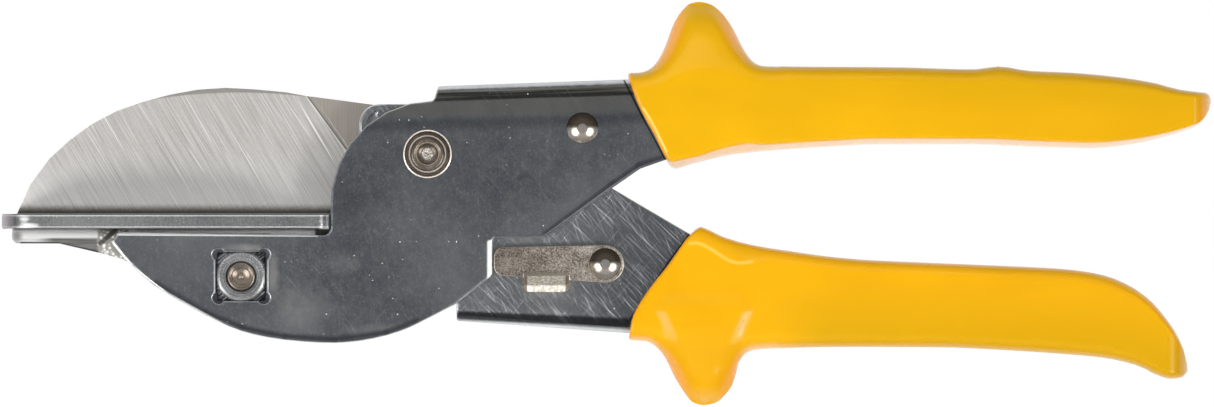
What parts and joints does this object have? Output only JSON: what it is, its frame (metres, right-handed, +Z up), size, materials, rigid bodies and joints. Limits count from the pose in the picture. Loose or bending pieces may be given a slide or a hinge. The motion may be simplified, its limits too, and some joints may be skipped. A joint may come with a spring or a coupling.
{
  "type": "mitre shears",
  "caption": "Hand mitre shears: a straight-edged blade on a lever closes on a flat anvil table in a folded steel frame, with dipped grips and a safety catch.",
  "frame": {"origin": "middle of the tool's box in its closed, locked pose", "axes": "+X from the blade's tip to the grips, +Y from the front face with the catch to the back, +Z up from the anvil table to the blade's back"},
  "size_m": [0.2502, 0.04, 0.0834],
  "materials": {
    "zinc_plate": "polished zinc plate with fine scratches",
    "ground_steel": "ground, fine diagonal lines",
    "nickel": "warm nickel, slightly tarnished",
    "table_alloy": "machined grey table",
    "yellow_dip": "glossy dipped vinyl",
    "insert_plastic": "satin strip with cut marks",
    "spring_steel": "drawn spring wire"
  },
  "bodies": {
    "frame": {"main_frame": "zinc_plate", "upper_grip": "yellow_dip", "pivot_pin": "nickel", "pivot_washer": "zinc_plate", "pivot_nut": "zinc_plate", "spring_rivet": "nickel", "spring_spool": "zinc_plate", "return_spring": "spring_steel", "anvil_carrier": "zinc_plate", "anvil_table": "table_alloy", "anvil_insert": "insert_plastic", "table_screw_left": "zinc_plate", "table_screw_right": "zinc_plate", "carrier_bolt": "nickel", "carrier_nut": "nickel", "carrier_washer": "zinc_plate", "carrier_spacer": "zinc_plate"},
    "lever": {"handle_lever": "zinc_plate", "lower_grip": "yellow_dip", "blade": "ground_steel", "blade_packing_front": "zinc_plate", "blade_packing_rear": "zinc_plate", "blade_pin": "zinc_plate", "pivot_bush": "zinc_plate", "catch_rivet": "nickel"},
    "catch": {"safety_catch": "nickel"}
  },
  "joints": [
    {"name": "handle_open", "type": "hinge", "parent": "frame", "child": "lever", "pos_m": [-0.037, 0, 0.01023], "axis": [0, 1, 0], "range_deg": [0, 20], "deforming": ["return_spring"]},
    {"name": "catch_swing", "type": "hinge", "parent": "lever", "child": "catch", "pos_m": [-0.0003, 0, -0.01247], "axis": [0, -1, 0], "range_deg": [0, 50]}
  ],
  "couplings": [
    {"joint": "catch_swing", "follows": "handle_open", "ratio": 2.5}
  ]
}
